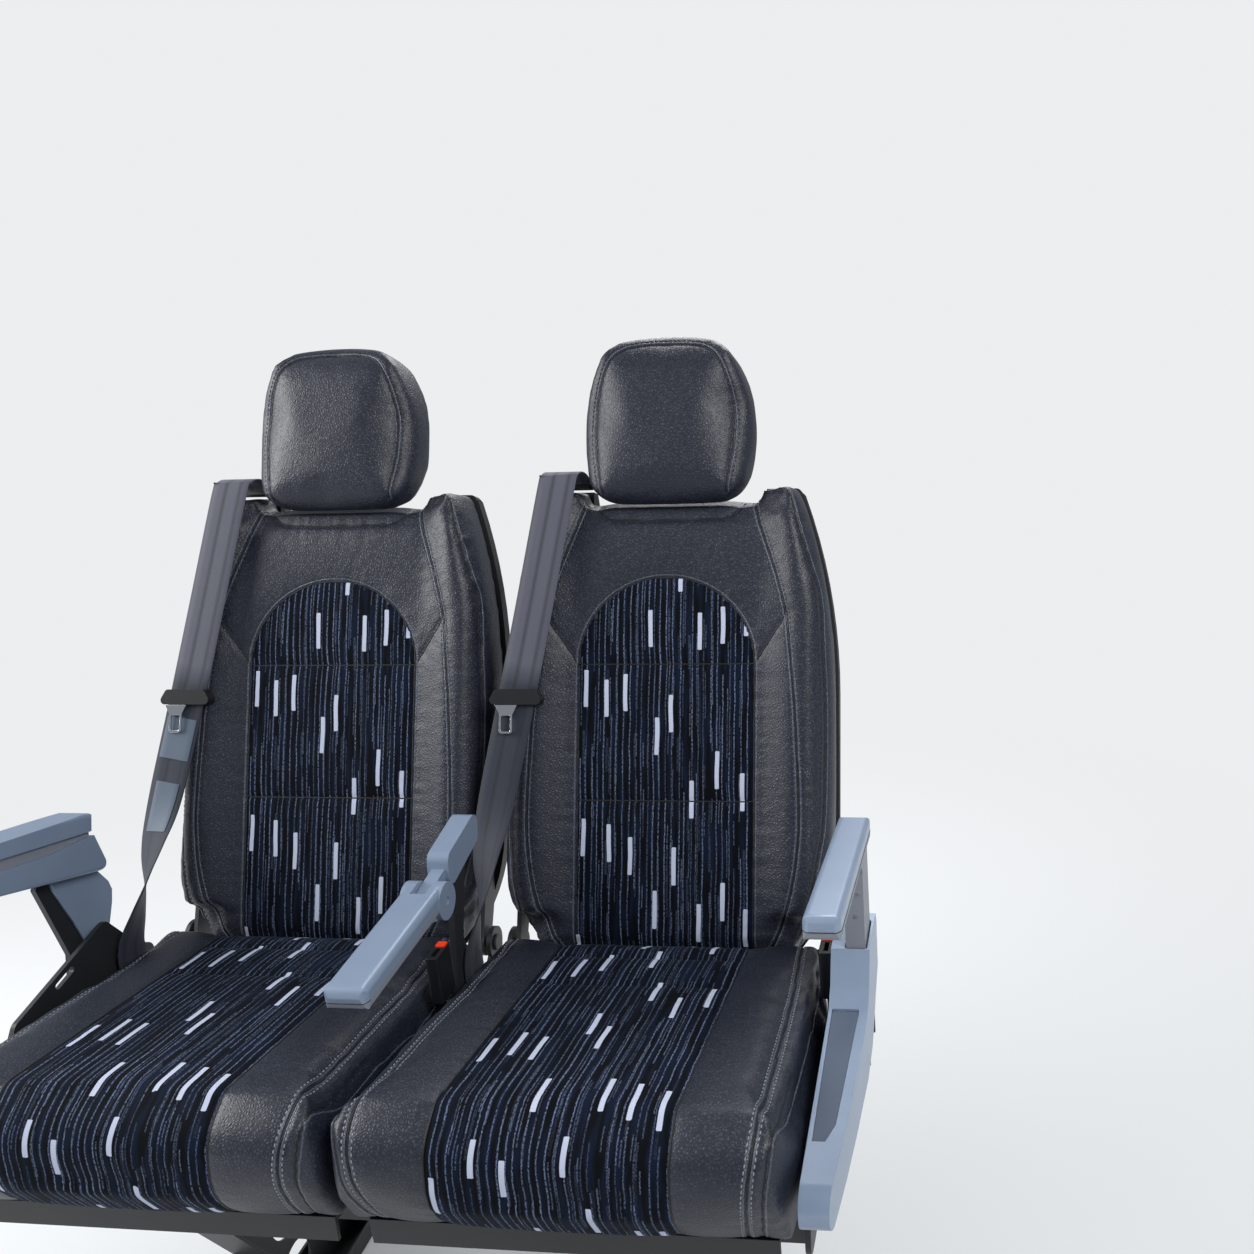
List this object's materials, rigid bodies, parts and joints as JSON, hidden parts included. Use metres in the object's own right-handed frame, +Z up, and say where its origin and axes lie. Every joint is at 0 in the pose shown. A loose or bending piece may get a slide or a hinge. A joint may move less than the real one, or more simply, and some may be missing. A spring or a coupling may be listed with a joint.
{
  "type": "coach passenger seat pair",
  "caption": "Two padded reclining coach seats side by side on one pedestal frame, with headrests, lap-and-shoulder belts and moving armrests.",
  "frame": {"origin": "on the floor, at the middle of the four floor bolts", "axes": "+X towards the aisle, +Y to the rear, +Z up; the seats face -Y"},
  "size_m": [1.0193, 0.7755, 1.1575],
  "materials": {
    "black_steel": "black powder-coated steel, satin",
    "pressed_steel": "dark grey powder-coated pressed steel",
    "moquette": "navy-black moquette with fine upright streaks, edged with black leatherette",
    "leatherette": "black grained leatherette",
    "shell_plastic": "black textured moulded plastic",
    "silver_plastic": "silver-grey satin moulded plastic",
    "inset_plastic": "dark grey textured plastic",
    "webbing": "dark grey ribbed polyester webbing",
    "belt_plastic": "black moulded plastic",
    "latch_steel": "chromed pressed steel",
    "button_red": "red moulded plastic"
  },
  "bodies": {
    "frame": {"leg_window": "black_steel", "leg_aisle": "black_steel", "front_beam": "black_steel", "rear_beam": "black_steel", "end_plate_window": "black_steel", "end_plate_aisle": "black_steel", "hinge_brackets": "black_steel", "seat_pan_window": "black_steel", "seat_pan_aisle": "black_steel", "seat_cushion_window": "moquette", "seat_cushion_aisle": "moquette", "end_shell": "silver_plastic", "end_shell_inset": "inset_plastic", "post_guide": "black_steel", "centre_stanchion": "black_steel", "centre_stalk": "silver_plastic", "window_arm_bracket": "silver_plastic", "buckle_window": "belt_plastic", "buckle_aisle": "belt_plastic", "buckle_button_window": "button_red", "buckle_button_aisle": "button_red", "belt_anchor_window": "pressed_steel", "belt_anchor_aisle": "pressed_steel"},
    "back_window": {"back_pad_window": "moquette", "back_shell_window": "shell_plastic", "recline_arms_window": "pressed_steel", "headrest_window": "leatherette", "belt_guide_window": "belt_plastic", "belt_window": "webbing", "belt_tongue_window": "belt_plastic", "belt_latch_window": "latch_steel"},
    "back_aisle": {"back_pad_aisle": "moquette", "back_shell_aisle": "shell_plastic", "recline_arms_aisle": "pressed_steel", "headrest_aisle": "leatherette", "belt_guide_aisle": "belt_plastic", "belt_aisle": "webbing", "belt_tongue_aisle": "belt_plastic", "belt_latch_aisle": "latch_steel"},
    "centre_armrest": {"centre_arm": "silver_plastic"},
    "aisle_armrest": {"aisle_arm_pad": "silver_plastic", "aisle_arm_post": "silver_plastic"},
    "window_armrest": {"window_arm_pad": "silver_plastic", "window_arm_body": "silver_plastic"}
  },
  "joints": [
    {"name": "recline_window", "type": "hinge", "parent": "frame", "child": "back_window", "pos_m": [-0.2285, 0.22198, 0.39273], "axis": [-1, 0, 0], "range_deg": [0, 18], "deforming": ["belt_window"]},
    {"name": "recline_aisle", "type": "hinge", "parent": "frame", "child": "back_aisle", "pos_m": [0.2285, 0.22198, 0.39273], "axis": [-1, 0, 0], "range_deg": [0, 18], "deforming": ["belt_aisle"]},
    {"name": "centre_armrest_fold", "type": "hinge", "parent": "frame", "child": "centre_armrest", "pos_m": [0, 0.034, 0.562], "axis": [-1, 0, 0], "range_deg": [0, 95]},
    {"name": "window_armrest_fold", "type": "hinge", "parent": "frame", "child": "window_armrest", "pos_m": [-0.4865, 0.096, 0.577], "axis": [-1, 0, 0], "range_deg": [-10, 75]},
    {"name": "aisle_armrest_slide", "type": "slide", "parent": "frame", "child": "aisle_armrest", "axis": [0, 0, -1], "range_m": [0, 0.092]}
  ]
}
